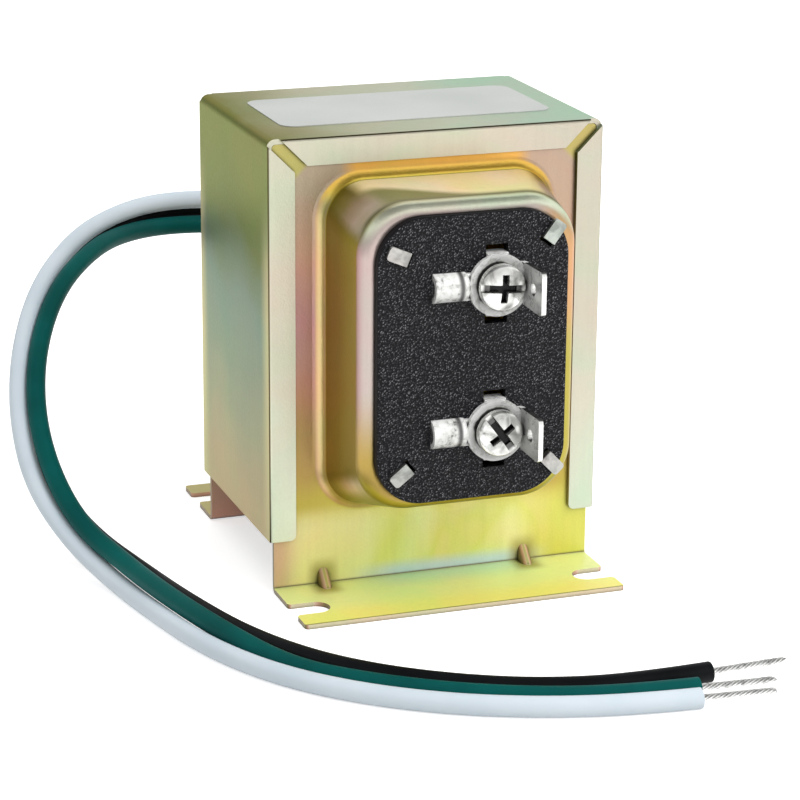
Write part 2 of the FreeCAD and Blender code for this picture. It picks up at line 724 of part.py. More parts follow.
primary_winding, primary_tape = half_coil(1)
secondary_winding, secondary_tape = half_coil(-1)
pieces = {
    "casing_wrap": casing_wrap(),
    "front_cover": front_cover(),
    "rear_cover": rear_cover(),
    "lead_bushing": lead_bushing(),
    "terminal_board": terminal_board(),
    "upper_terminal": terminal_plate(seat_middles[0]),
    "lower_terminal": terminal_plate(seat_middles[1]),
    "terminal_screws": Part.makeCompound([terminal_screw(*seat) for seat in zip(seat_middles, drive_turns)]),
    "secondary_wires": Part.makeCompound([secondary_wire(z) for z in seat_middles]),
    "solder_joints": Part.makeCompound([solder_joint(z) for z in seat_middles]),
    "rating_label": rating_label(),
    "core_e_stack": core_e_stack(),
    "core_i_stack": core_i_stack(),
    "bobbin": bobbin(),
    "primary_winding": primary_winding,
    "primary_tape": primary_tape,
    "secondary_winding": secondary_winding,
    "secondary_tape": secondary_tape,
    "splice_sleeves": splice_sleeves(),
    "thermal_cutout": thermal_cutout(),
    "ground_tag": ground_tag(),
}
for colour, route in (("white", white_route), ("green", green_route), ("black", black_route)):
    pieces[f"{colour}_lead"] = lead(colour, route)
    pieces[f"{colour}_conductor"] = conductor(route, bare_lengths[colour])

for name, shape in pieces.items():
    shape.exportStep(f"parts/{name}.step")
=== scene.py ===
"""Doorbell transformer as photographed: plated steel casing, black terminal board and three loose leads."""

import math
from types import SimpleNamespace

import bpy
from mathutils import Matrix, Vector


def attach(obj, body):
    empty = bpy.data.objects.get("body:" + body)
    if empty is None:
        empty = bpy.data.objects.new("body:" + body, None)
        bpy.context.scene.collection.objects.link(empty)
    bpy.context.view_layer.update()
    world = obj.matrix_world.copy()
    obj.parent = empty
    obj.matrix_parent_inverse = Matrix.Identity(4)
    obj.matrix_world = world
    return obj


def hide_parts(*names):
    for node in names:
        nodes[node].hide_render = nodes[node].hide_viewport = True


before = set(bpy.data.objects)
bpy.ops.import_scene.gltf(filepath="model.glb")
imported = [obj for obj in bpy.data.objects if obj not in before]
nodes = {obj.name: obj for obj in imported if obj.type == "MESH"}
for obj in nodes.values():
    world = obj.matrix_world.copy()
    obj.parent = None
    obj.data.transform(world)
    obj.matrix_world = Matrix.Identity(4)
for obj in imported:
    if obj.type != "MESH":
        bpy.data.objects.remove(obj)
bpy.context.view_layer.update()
scene = bpy.context.scene
scene.view_settings.view_transform = "Standard"
full_white = (1.0, 1.0, 1.0, 1.0)


# Node helpers
def join(tree, value, socket):
    """Links another node's output to an input, or sets a constant on it."""
    if isinstance(value, bpy.types.NodeSocket):
        tree.links.new(value, socket)
    else:
        socket.default_value = value


def add(tree, kind, inputs=None, **settings):
    """Adds a node. An input takes a constant or another node's output."""
    made = tree.nodes.new(kind)
    for key, value in settings.items():
        setattr(made, key, value)
    for key, value in (inputs or {}).items():
        join(tree, value, made.inputs[key])
    return made


def srgb(red, green, blue):
    """Colour as sampled on screen, 0 to 255, as the linear colour that shaders use."""
    linear = []
    for value in (red / 255, green / 255, blue / 255):
        linear.append(value / 12.92 if value <= 0.04045 else ((value + 0.055) / 1.055) ** 2.4)
    return (*linear, 1.0)


def ramp(tree, factor, stops):
    made = add(tree, "ShaderNodeValToRGB", {"Fac": factor})
    band = made.color_ramp
    while len(band.elements) < len(stops):
        band.elements.new(0.5)
    for element, (place, colour) in zip(band.elements, stops):
        element.position = place
        element.color = colour
    return made.outputs["Color"]


def blend(tree, factor, below, above, mode="MIX"):
    inputs = {0: factor, 6: below, 7: above}
    return add(tree, "ShaderNodeMix", inputs, data_type="RGBA", blend_type=mode).outputs[2]


def between(tree, value, low, high, smooth=True):
    """0 at low, 1 at high and beyond, and an even change between them. Low may be the larger one."""
    kind = "SMOOTHSTEP" if smooth else "LINEAR"
    inputs = {"Value": value, "From Min": low, "From Max": high}
    return add(tree, "ShaderNodeMapRange", inputs, interpolation_type=kind).outputs["Result"]


def maths(tree, operation, first, second=0.0):
    return add(tree, "ShaderNodeMath", {0: first, 1: second}, operation=operation).outputs["Value"]


def plus(tree, first, second):
    return maths(tree, "ADD", first, second)


def minus(tree, first, second):
    return maths(tree, "SUBTRACT", first, second)


def times(tree, first, second):
    return maths(tree, "MULTIPLY", first, second)


def unsigned(tree, value):
    return maths(tree, "ABSOLUTE", value)


def swing(tree, pattern, width):
    """A pattern of 0 to 1 as a swing of that width about 0."""
    return times(tree, minus(tree, pattern, 0.5), width)


def from_start(tree, value, start, gain):
    """The start and so much of the value, as for a roughness."""
    return plus(tree, times(tree, value, gain), start)


def split(tree, vector):
    return add(tree, "ShaderNodeSeparateXYZ", {"Vector": vector}).outputs


def noise(tree, where, scale, detail=3.0, roughness=0.5, distortion=0.0):
    inputs = {"Vector": where, "Scale": scale, "Detail": detail, "Roughness": roughness,
              "Distortion": distortion}
    return add(tree, "ShaderNodeTexNoise", inputs).outputs["Fac"]


def stretched(tree, where, factors):
    """Coordinates scaled along each axis, for streaks."""
    return add(tree, "ShaderNodeMapping", {"Vector": where, "Scale": factors}).outputs["Vector"]


def bump(tree, height, strength, distance):
    inputs = {"Height": height, "Strength": strength, "Distance": distance}
    return add(tree, "ShaderNodeBump", inputs).outputs["Normal"]


def normal_parts(tree):
    return split(tree, add(tree, "ShaderNodeNewGeometry").outputs["Normal"])


def facing(tree, axis, low, high):
    """How far a face turns to that axis."""
    return between(tree, normal_parts(tree)[axis], low, high)


def shaded(tree, colour, reach, darkest, clear=0.85):
    """Paints shade into a colour: darkens it in recesses and corners that are narrower than the reach."""
    hollow = add(tree, "ShaderNodeAmbientOcclusion", {"Distance": reach}, samples=8).outputs["AO"]
    shade = ramp(tree, hollow, [(0.35, (darkest, darkest, darkest, 1.0)), (clear, full_white)])
    return blend(tree, 1.0, colour, shade, "MULTIPLY")


def new_material(name):
    material = bpy.data.materials.new(name)
    material.use_nodes = True
    tree = material.node_tree
    tree.nodes.clear()
    surface = add(tree, "ShaderNodeBsdfPrincipled")
    add(tree, "ShaderNodeOutputMaterial", {"Surface": surface.outputs["BSDF"]})
    where = add(tree, "ShaderNodeTexCoord").outputs["Object"]
    return material, tree, surface, where


def wire_up(tree, surface, **inputs):
    names = {"colour": "Base Color", "metallic": "Metallic", "roughness": "Roughness", "normal": "Normal",
             "coat": "Coat Weight"}
    for key, value in inputs.items():
        join(tree, value, surface.inputs[names[key]])


def dress(obj, material):
    obj.data.materials.clear()
    obj.data.materials.append(material)


# Yellow zinc plating. Zones lie between places in metres: x to the right, z up from the ground,
# and out from the middle plane, where the front and the rear are alike.
plating_metallic = 0.86
casing_bottom, casing_top, casing_half = 0.009, 0.077, 0.0284
plate_bottom, plate_top = 0.009, 0.076
plate_face, wall_start, wall_end, edge_end = 0.0192, 0.0210, 0.0328, 0.0352
dart_middle, dart_half_pitch = -0.0015, 0.018


def plated_finish(tree, surface, where, colour, metallic=plating_metallic):
    """Satin plating over rolled sheet: drifting tints, rolling streaks and a fine grain."""
    drift = noise(tree, where, 70.0, 2.0, 0.5, 0.6)
    tint = ramp(tree, drift, [
        (0.30, (0.90, 1.04, 0.96, 1.0)), (0.48, full_white), (0.70, (1.07, 0.95, 0.98, 1.0))])
    colour = blend(tree, 0.75, colour, tint, "MULTIPLY")
    streak = noise(tree, stretched(tree, where, (900.0, 900.0, 60.0)), 1.0, 2.0)
    grain = noise(tree, where, 2600.0, 2.0, 0.6)
    shade = plus(tree, times(tree, streak, 0.10), times(tree, grain, 0.12))
    shade = plus(tree, shade, 0.89)
    grey = add(tree, "ShaderNodeCombineColor", {"Red": shade, "Green": shade, "Blue": shade})
    colour = blend(tree, 1.0, colour, grey.outputs["Color"], "MULTIPLY")
    rough = from_start(tree, grain, 0.30, 0.14)
    normal = bump(tree, grain, 0.16, 0.0002)
    wire_up(tree, surface, colour=colour, metallic=metallic, roughness=rough, normal=normal)


def casing_plating():
    """Zones of the folded casing: sides by height, top from left to right, pale lips and a painted dark
    reflection along the folds.
    """
    material, tree, surface, where = new_material("casing_plating")
    parts = split(tree, where)
    x, z = parts["X"], parts["Z"]
    out = unsigned(tree, parts["Y"])
    wander = swing(tree, noise(tree, where, 45.0, 2.0), 0.35)

    # Sides: tan, then blue-green, then olive, with a warm strip before the folds
    level = plus(tree, between(tree, z, casing_bottom, casing_top, False), wander)
    side = ramp(tree, level, [
        (0.02, srgb(170, 150, 123)), (0.20, srgb(144, 140, 120)), (0.38, srgb(110, 127, 117)),
        (0.54, srgb(101, 123, 122)), (0.74, srgb(87, 98, 43)), (0.95, srgb(101, 107, 42))])
    strip = plus(tree, out, times(tree, wander, 0.006))
    warm = times(tree, between(tree, strip, 0.0150, 0.0200), between(tree, z, 0.070, 0.050))
    side = blend(tree, warm, side, srgb(185, 176, 139))

    # Top: olive at the left, grey in the middle, green at the right
    across = plus(tree, between(tree, x, -casing_half, casing_half, False), wander)
    top = ramp(tree, across, [
        (0.02, srgb(124, 119, 44)), (0.30, srgb(198, 199, 182)), (0.60, srgb(209, 214, 204)),
        (0.85, srgb(189, 217, 206))])

    # Lips: greener at the bottom, and darker on the right
    height = plus(tree, z, times(tree, wander, 0.03))
    upper = between(tree, height, 0.012, 0.045)
    left_lip = blend(tree, upper, srgb(209, 220, 195), srgb(194, 190, 171))
    right_lip = blend(tree, upper, srgb(190, 199, 178), srgb(185, 181, 164))
    lip = blend(tree, between(tree, x, 0.004, 0.024), left_lip, right_lip)

    colour = blend(tree, facing(tree, "Z", 0.5, 0.9), side, top)
    colour = blend(tree, facing(tree, "Y", -0.6, -0.92), colour, lip)
    colour = blend(tree, facing(tree, "Y", 0.6, 0.92), colour, lip)
    # Painted reflection: a dark line along the folds, where the face turns partly to the front
    slant = unsigned(tree, normal_parts(tree)["Y"])
    fold = times(tree, between(tree, slant, 0.10, 0.30), between(tree, slant, 0.90, 0.65))
    colour = blend(tree, fold, colour, srgb(80, 71, 48))
    plated_finish(tree, surface, where, colour)
    surface.inputs["Specular Tint"].default_value = (0.88, 0.91, 0.68, 1.0)
    return material


def cover_places(tree, where):
    """Coordinates, the turn of the face and two patterns, which a cover's zones go by."""
    parts = split(tree, where)
    turn = normal_parts(tree)
    return SimpleNamespace(
        x=parts["X"], y=parts["Y"], z=parts["Z"], out=unsigned(tree, parts["Y"]),
        turn=turn, sideways=unsigned(tree, turn["X"]),
        patch=noise(tree, stretched(tree, where, (1.0, 0.6, 0.45)), 75.0, 2.0, 0.5, 0.5),
        mottle=noise(tree, where, 420.0, 3.0, 0.6, 0.4))


def plate_colour(tree, at):
    """Flat of the cover: yellow, then tan and pink going up, orange above the dome, yellow at the mitres."""
    wander = swing(tree, at.patch, 0.26)
    level = plus(tree, between(tree, at.z, plate_bottom, plate_top, False), wander)
    plate = ramp(tree, level, [
        (0.02, srgb(181, 173, 82)), (0.10, srgb(178, 165, 76)), (0.18, srgb(170, 146, 82)),
        (0.29, srgb(174, 143, 96)), (0.42, srgb(178, 138, 120)), (0.56, srgb(178, 134, 133)),
        (0.74, srgb(183, 150, 129)), (0.94, srgb(174, 153, 133))])
    across = unsigned(tree, at.x)
    overhang = times(tree, between(tree, at.z, 0.0655, 0.0680), between(tree, across, 0.0170, 0.0135))
    plate = blend(tree, overhang, plate, srgb(220, 169, 84))
    mitre = between(tree, plus(tree, at.z, across), 0.0940, 0.0954)
    return blend(tree, mitre, plate, srgb(176, 164, 99))


def fillet_colour(tree, at):
    """Fillet round the foot of the dome, brighter towards the wall, and orange above the dome."""
    climb = between(tree, at.out, plate_face, wall_start, False)
    beside = ramp(tree, climb, [
        (0.00, srgb(176, 136, 105)), (0.16, srgb(213, 183, 133)), (0.50, srgb(221, 206, 138)),
        (0.80, srgb(221, 214, 162)), (0.97, srgb(201, 185, 75))])
    above = ramp(tree, climb, [
        (0.00, srgb(255, 204, 98)), (0.35, srgb(255, 216, 96)), (0.70, srgb(250, 226, 104)),
        (0.95, srgb(160, 150, 56))])
    return blend(tree, between(tree, at.z, 0.0655, 0.0685), beside, above)


def wall_colour(tree, at, above_dome):
    """Walls of the dome: olive sides, mottled corners, a peach roof and a painted shade line before the front
    edge.
    """
    wall = ramp(tree, at.patch, [(0.3, srgb(142, 127, 14)), (0.7, srgb(153, 130, 48))])
    rise = plus(tree, between(tree, at.out, wall_start, wall_end, False), times(tree, at.mottle, 0.2))
    corner = ramp(tree, rise, [
        (0.10, srgb(139, 128, 32)), (0.38, srgb(177, 160, 91)), (0.62, srgb(208, 181, 151)),
        (0.86, srgb(221, 198, 181)), (1.0, srgb(204, 187, 162))])
    walls = blend(tree, between(tree, at.sideways, 0.86, 0.975), corner, wall)

    # Roof: yellower on the right, with a wedge of painted shade that widens to the left along the front edge
    roof = ramp(tree, at.patch, [
        (0.3, srgb(232, 217, 145)), (0.5, srgb(240, 219, 172)), (0.7, srgb(236, 217, 184))])
    roof = blend(tree, between(tree, at.x, 0.008, 0.018), roof, srgb(224, 200, 120))
    spread = times(tree, between(tree, at.x, 0.004, -0.016), 0.0070)
    roof_shade_wedge = between(tree, plus(tree, at.out, spread), 0.0306, 0.0334)
    roof = blend(tree, roof_shade_wedge, roof, srgb(130, 126, 74))
    walls = blend(tree, above_dome, walls, roof)

    walls = blend(tree, between(tree, at.turn["Z"], -0.5, -0.85), walls, srgb(153, 141, 28))
    # Painted shade: a dark line on the rounding just before the front edge
    edge_shade_line = times(tree, between(tree, at.out, 0.0316, 0.0330), between(tree, at.turn["Z"], 0.25, 0.7))
    return blend(tree, edge_shade_line, walls, srgb(111, 107, 72))


def edge_colour(tree, at):
    """Front edge of the dome: a thin orange line, pink, then cream towards the board, and olive below."""
    inward = between(tree, at.out, wall_end, edge_end, False)
    rim = ramp(tree, inward, [
        (0.02, srgb(164, 124, 52)), (0.14, srgb(164, 133, 115)), (0.45, srgb(174, 146, 143)),
        (0.80, srgb(190, 176, 169))])
    rim = blend(tree, between(tree, at.z, 0.040, 0.026), rim, srgb(176, 150, 78))
    right_rim = blend(tree, between(tree, at.z, 0.040, 0.052), srgb(171, 160, 73), srgb(195, 151, 108))
    rim = blend(tree, between(tree, at.x, 0.010, 0.016), rim, right_rim)
    upper_rim = ramp(tree, inward, [
        (0.02, srgb(121, 117, 81)), (0.25, srgb(173, 170, 131)), (0.60, srgb(229, 233, 206)),
        (0.90, srgb(235, 237, 214))])
    edge = blend(tree, between(tree, at.turn["Z"], 0.10, 0.55), rim, upper_rim)
    return blend(tree, between(tree, at.turn["Z"], -0.10, -0.45), edge, srgb(150, 136, 33))


def leg_and_foot_colour(tree, at):
    """Leg and foot: pale yellow, with a cool band along the fold, painted shade beside the darts and along
    the crease, and darts painted lighter on the crest and darker on their sides.
    """
    middle = between(tree, unsigned(tree, plus(tree, at.x, -0.003)), 0.020, 0.008)
    from_dart = minus(tree, unsigned(tree, plus(tree, at.x, -dart_middle)), dart_half_pitch)
    beside_dart = times(tree, between(tree, unsigned(tree, from_dart), 0.0034, 0.0008), 0.75)
    at_rear = between(tree, at.y, 0.0, 0.001)

    leg = ramp(tree, at.patch, [
        (0.30, srgb(248, 243, 165)), (0.45, srgb(243, 245, 171)), (0.60, srgb(230, 234, 128)),
        (0.72, srgb(248, 234, 167))])
    leg = blend(tree, between(tree, at.x, -0.0225, -0.0275), leg, srgb(220, 185, 146))
    leg = blend(tree, between(tree, at.x, 0.014, 0.023), leg, srgb(220, 220, 101))
    cool = times(tree, between(tree, at.z, 0.0040, 0.0016), middle)
    leg = blend(tree, cool, leg, srgb(214, 230, 234))
    leg_shade = times(tree, beside_dart, between(tree, at.z, 0.0062, 0.0030))
    leg = blend(tree, leg_shade, leg, srgb(165, 156, 68))
    # Painted shade: a dark line along the crease where the leg meets the foot
    leg = blend(tree, between(tree, at.z, 0.00125, 0.00095), leg, srgb(109, 99, 46))
    cut = times(tree, between(tree, at.z, 0.0010, 0.0008), between(tree, at.out, 0.0205, 0.0215))
    leg = blend(tree, cut, leg, srgb(218, 206, 171))
    # Darts: a painted highlight on the crest and painted shade on the steep sides, by how far the face turns
    # sideways
    dart = ramp(tree, at.sideways, [
        (0.2, srgb(234, 200, 179)), (0.5, srgb(200, 154, 126)), (0.85, srgb(128, 111, 60))])
    leg = blend(tree, between(tree, at.sideways, 0.10, 0.30), leg, dart)
    inner = times(tree, at_rear, between(tree, at.turn["Y"], 0.1, -0.3))
    leg = blend(tree, inner, leg, srgb(211, 160, 136))

    foot = ramp(tree, at.patch, [(0.35, srgb(248, 255, 172)), (0.60, srgb(245, 255, 168))])
    foot = blend(tree, between(tree, at.out, 0.0270, 0.0345), foot, srgb(253, 249, 134))
    crease = times(tree, between(tree, at.out, 0.0275, 0.0200), middle)
    foot = blend(tree, crease, foot, srgb(219, 243, 193))
    foot_shade = times(tree, beside_dart, between(tree, at.out, 0.0250, 0.0222))
    foot = blend(tree, foot_shade, foot, srgb(158, 150, 49))
    foot = blend(tree, between(tree, at.out, 0.03595, 0.03615), foot, srgb(148, 144, 65))
    foot = blend(tree, at_rear, foot, srgb(203, 189, 110))
    return blend(tree, between(tree, at.turn["Z"], 0.5, 0.95), leg, foot)


def cover_plating():
    """Zones of the drawn cover: flat plate, fillet, walls, front edge, leg, foot and silvery tabs."""
    material, tree, surface, where = new_material("cover_plating")
    at = cover_places(tree, where)
    above_dome = between(tree, at.turn["Z"], 0.80, 0.98)
    walls = wall_colour(tree, at, above_dome)
    drawn = blend(tree, between(tree, at.out, 0.0327, 0.0331), walls, edge_colour(tree, at))
    drawn = blend(tree, between(tree, at.out, 0.0209, 0.0212), fillet_colour(tree, at), drawn)
    colour = blend(tree, between(tree, at.out, 0.01921, 0.01935), plate_colour(tree, at), drawn)
    low = between(tree, at.z, 0.0150, 0.0100)
    colour = blend(tree, low, colour, leg_and_foot_colour(tree, at))
    tab = ramp(tree, at.mottle, [(0.36, srgb(140, 141, 137)), (0.60, srgb(181, 182, 177))])
    colour = blend(tree, between(tree, at.out, 0.0366, 0.0369), colour, tab)
    # Painted shade in narrow corners, such as under the lips and in the fold of the leg
    colour = shaded(tree, colour, 0.0007, 0.18, 0.92)

    # The leg, the foot and the dome's roof mirror less and show more of their own colour
    roof = times(tree, above_dome, between(tree, at.out, plate_face, 0.0200))
    soft = maths(tree, "MAXIMUM", low, roof)
    metallic = minus(tree, plating_metallic, times(tree, soft, 0.66))
    plated_finish(tree, surface, where, colour, metallic)
    return material


# Other materials
def board_fibre():
    """Black fibre with a pebbled face: a dark ground, and painted glints of different strength on its front.
    """
    material, tree, surface, where = new_material("board_fibre")
    parts = split(tree, where)
    crumple = swing(tree, noise(tree, where, 2100.0, 1.0), 0.0006)
    face = add(tree, "ShaderNodeCombineXYZ", {
        "X": plus(tree, parts["X"], crumple), "Y": plus(tree, parts["Z"], crumple)}).outputs["Vector"]
    pebbles = add(tree, "ShaderNodeTexVoronoi", {"Vector": face, "Scale": 2700.0},
                  voronoi_dimensions="2D").outputs
    chance = add(tree, "ShaderNodeSeparateColor", {"Color": pebbles["Color"]}).outputs["Red"]
    strength = between(tree, chance, -0.7, 1.0, False)
    # Painted highlights: a glint on each pebble, of random strength, on front faces only
    glint = times(tree, between(tree, pebbles["Distance"], 0.62, 0.05), strength)
    glint = times(tree, glint, facing(tree, "Y", -0.5, -0.85))
    colour = ramp(tree, glint, [
        (0.0, srgb(16, 16, 19)), (0.30, srgb(28, 28, 30)), (0.62, srgb(65, 65, 68)),
        (1.0, srgb(141, 141, 145))])
    wire_up(tree, surface, colour=colour, roughness=0.55, normal=bump(tree, glint, 0.4, 0.0002))
    surface.inputs["Specular IOR Level"].default_value = 0.15
    return material


screw_x, screw_middle_z, screw_half_pitch = 0.0038, 0.0432, 0.0121


def from_screw_axis(tree, where):
    """Distance from the axis of the nearer terminal screw, and the coordinates."""
    parts = split(tree, where)
    from_middle = unsigned(tree, minus(tree, parts["Z"], screw_middle_z))
    up = unsigned(tree, minus(tree, from_middle, screw_half_pitch))
    across = minus(tree, parts["X"], screw_x)
    squares = plus(tree, times(tree, up, up), times(tree, across, across))
    return maths(tree, "SQRT", squares), parts


def terminal_nickel():
    """Nickel of the terminals: bright rims, a painted shadow ring under each screw, solder on the lugs, and
    darker ears with painted shadow near the seat.
    """
    material, tree, surface, where = new_material("terminal_nickel")
    radius, parts = from_screw_axis(tree, where)
    x, y = parts["X"], parts["Y"]
    smudge = noise(tree, where, 460.0, 2.0, 0.5, 0.3)
    speckle = noise(tree, where, 1250.0, 2.0, 0.6)
    crust = plus(tree, times(tree, speckle, 0.55), times(tree, smudge, 0.45))

    # Seat: a painted shadow ring under the screw head, going over into the bright rim
    wobbling_radius = plus(tree, radius, swing(tree, smudge, 0.0006))
    ring = ramp(tree, between(tree, wobbling_radius, 0.0034, 0.0052, False), [
        (0.0, srgb(36, 36, 35)), (0.16, srgb(60, 60, 58)), (0.28, srgb(214, 214, 210)),
        (0.42, srgb(252, 252, 250))])
    wear = ramp(tree, crust, [(0.38, (0.70, 0.70, 0.69, 1.0)), (0.48, full_white)])
    ring = blend(tree, 1.0, ring, wear, "MULTIPLY")

    lug = ramp(tree, crust, [
        (0.36, srgb(120, 120, 118)), (0.42, srgb(204, 204, 201)), (0.50, srgb(236, 236, 233)),
        (0.60, srgb(250, 250, 248))])
    # Painted reflection: a dark band across the lug near its rounded right end
    lug_reflection_band = times(tree, between(tree, x, -0.0034, -0.0027), between(tree, x, -0.0020, -0.0025))
    lug = blend(tree, lug_reflection_band, lug, srgb(96, 96, 94))
    end = times(tree, between(tree, x, -0.0066, -0.0084), between(tree, smudge, 0.60, 0.50))
    lug = blend(tree, end, lug, srgb(104, 104, 102))
    colour = blend(tree, between(tree, x, -0.0006, -0.0012), ring, lug)

    ear = ramp(tree, smudge, [
        (0.34, srgb(59, 59, 58)), (0.50, srgb(83, 83, 81)), (0.66, srgb(116, 116, 113))])
    # Painted shadow on the ear next to the seat, lighter towards its edge
    ear = blend(tree, between(tree, y, -0.0384, -0.0428), srgb(46, 46, 45), ear)
    ear = blend(tree, facing(tree, "Y", -0.5, -0.8), ear, srgb(238, 238, 235))
    standing = times(tree, between(tree, x, 0.0078, 0.0080), between(tree, y, -0.0380, -0.0384))
    colour = blend(tree, standing, colour, ear)
    # Painted shade in narrow corners and crevices
    colour = shaded(tree, colour, 0.0005, 0.20)
    rough = from_start(tree, smudge, 0.20, 0.2)
    metallic = from_start(tree, standing, 0.05, 0.52)
    wire_up(tree, surface, colour=colour, metallic=metallic, roughness=rough,
            normal=bump(tree, smudge, 0.35, 0.0005))
    return material


def screw_nickel():
    """Nickel of the screws, with painted shade in the slot and darker painted shade in the cross."""
    material, tree, surface, where = new_material("screw_nickel")
    radius, parts = from_screw_axis(tree, where)
    smudge = noise(tree, where, 320.0, 3.0, 0.6, 0.6)
    colour = ramp(tree, smudge, [
        (0.34, srgb(126, 126, 123)), (0.48, srgb(200, 200, 196)), (0.62, srgb(244, 244, 241))])
    # Painted shade in the slot and the cross: darker the deeper the face lies, within the head's radius
    depth = ramp(tree, between(tree, parts["Y"], -0.0402, -0.0393, False), [
        (0.05, full_white), (0.30, (0.22, 0.22, 0.21, 1.0)), (0.62, (0.12, 0.12, 0.12, 1.0)),
        (0.9, (0.01, 0.01, 0.01, 1.0))])
    recess = blend(tree, between(tree, radius, 0.0036, 0.0030), full_white, depth)
    colour = blend(tree, 1.0, colour, recess, "MULTIPLY")
    # Painted shade in narrow corners and crevices
    colour = shaded(tree, colour, 0.0005, 0.25)
    rough = from_start(tree, smudge, 0.14, 0.2)
    wire_up(tree, surface, colour=colour, metallic=0.7, roughness=rough,
            normal=bump(tree, smudge, 0.3, 0.0004))
    return material


def bright_metal(name, light, dark, rough_low, rough_high, scale):
    """Plated or tinned metal with smudges."""
    material, tree, surface, where = new_material(name)
    smudge = noise(tree, where, scale, 4.0, 0.6, 0.4)
    fine = noise(tree, where, scale * 12, 2.0, 0.6)
    colour = ramp(tree, smudge, [(0.32, dark), (0.55, light)])
    rough = from_start(tree, between(tree, fine, 0.3, 0.7), rough_low, rough_high - rough_low)
    wire_up(tree, surface, colour=colour, metallic=1.0, roughness=rough,
            normal=bump(tree, smudge, 0.12, 0.0003))
    return material


def plastic(name, light, dark, rough, scale=500.0, coat=0.0, shine=0.5):
    """Moulded or extruded plastic: a slightly uneven colour, a fine skin and a soft shine."""
    material, tree, surface, where = new_material(name)
    cloud = noise(tree, where, scale * 0.25, 3.0)
    skin = noise(tree, where, scale * 4, 2.0, 0.6)
    colour = ramp(tree, cloud, [(0.3, dark), (0.7, light)])
    uneven = from_start(tree, skin, rough - 0.06, 0.12)
    wire_up(tree, surface, colour=colour, roughness=uneven, coat=coat, normal=bump(tree, skin, 0.12, 0.0001))
    surface.inputs["Specular IOR Level"].default_value = shine
    return material


def label_film():
    """Blank film, pale grey and a little silvery."""
    material, tree, surface, where = new_material("label_film")
    cloud = noise(tree, where, 60.0, 2.0)
    fibre = noise(tree, where, 1800.0, 2.0)
    colour = ramp(tree, cloud, [(0.3, srgb(184, 188, 184)), (0.7, srgb(196, 199, 195))])
    rough = from_start(tree, fibre, 0.34, 0.1)
    wire_up(tree, surface, colour=colour, metallic=0.15, roughness=rough,
            normal=bump(tree, fibre, 0.05, 0.0001))
    return material


def laminations():
    """Edges of stacked sheets, dark with varnish."""
    material, tree, surface, where = new_material("laminations")
    wave = add(tree, "ShaderNodeTexWave", {"Vector": where, "Scale": 320.0, "Distortion": 0.4, "Detail": 1.0},
               bands_direction="Y").outputs["Fac"]
    stain = noise(tree, where, 160.0, 4.0, 0.6)
    colour = ramp(tree, times(tree, wave, stain), [(0.1, srgb(48, 44, 40)), (0.6, srgb(120, 116, 112))])
    wire_up(tree, surface, colour=colour, metallic=0.8, roughness=0.5, normal=bump(tree, wave, 0.5, 0.0003))
    return material


def winding_wire():
    """Close turns of enamelled wire round the bobbin."""
    material, tree, surface, where = new_material("winding_wire")
    wave = add(tree, "ShaderNodeTexWave", {"Vector": where, "Scale": 600.0},
               bands_direction="X").outputs["Fac"]
    colour = ramp(tree, wave, [(0.1, srgb(70, 30, 14)), (0.7, srgb(176, 88, 44))])
    wire_up(tree, surface, colour=colour, metallic=0.7, roughness=0.32, normal=bump(tree, wave, 0.6, 0.0002))
    return material


casing = casing_plating()
cover = cover_plating()
terminal_metal = terminal_nickel()
tinned = bright_metal("tinned_copper", srgb(244, 244, 242), srgb(172, 172, 170), 0.24, 0.40, 700.0)
solder = bright_metal("solder", srgb(206, 206, 206), srgb(130, 130, 130), 0.25, 0.42, 300.0)
steel_case = bright_metal("cutout_case", srgb(190, 190, 192), srgb(140, 140, 142), 0.3, 0.45, 200.0)
core = laminations()
turns = winding_wire()
natural_nylon = plastic("natural_nylon", srgb(226, 216, 188), srgb(206, 194, 160), 0.45)
black_nylon = plastic("black_nylon", srgb(34, 34, 36), srgb(22, 22, 24), 0.42)
polyester = plastic("polyester_tape", srgb(222, 190, 60), srgb(200, 164, 40), 0.25, coat=0.3)
glass_sleeve = plastic("glass_sleeve", srgb(222, 206, 160), srgb(196, 178, 130), 0.6, 900.0)
white_skin = plastic("white_insulation", srgb(214, 224, 232), srgb(204, 216, 225), 0.44, 320.0, shine=0.35)
green_skin = plastic("green_insulation", srgb(2, 92, 88), srgb(1, 76, 73), 0.50, 320.0, shine=0.10)
black_skin = plastic("black_insulation", srgb(20, 23, 25), srgb(10, 12, 14), 0.48, 320.0, shine=0.12)
finishes = {
    "casing_wrap": casing, "front_cover": cover, "rear_cover": cover, "lead_bushing": black_nylon,
    "terminal_board": board_fibre(), "upper_terminal": terminal_metal, "lower_terminal": terminal_metal,
    "terminal_screws": screw_nickel(), "secondary_wires": tinned, "solder_joints": solder,
    "rating_label": label_film(), "core_e_stack": core, "core_i_stack": core, "bobbin": natural_nylon,
    "primary_winding": turns, "primary_tape": polyester, "secondary_winding": turns,
    "secondary_tape": polyester, "splice_sleeves": glass_sleeve, "thermal_cutout": steel_case,
    "ground_tag": tinned, "white_lead": white_skin, "green_lead": green_skin, "black_lead": black_skin,
    "white_conductor": tinned, "green_conductor": tinned, "black_conductor": tinned,
}
for name, finish in finishes.items():
    dress(nodes[name], finish)

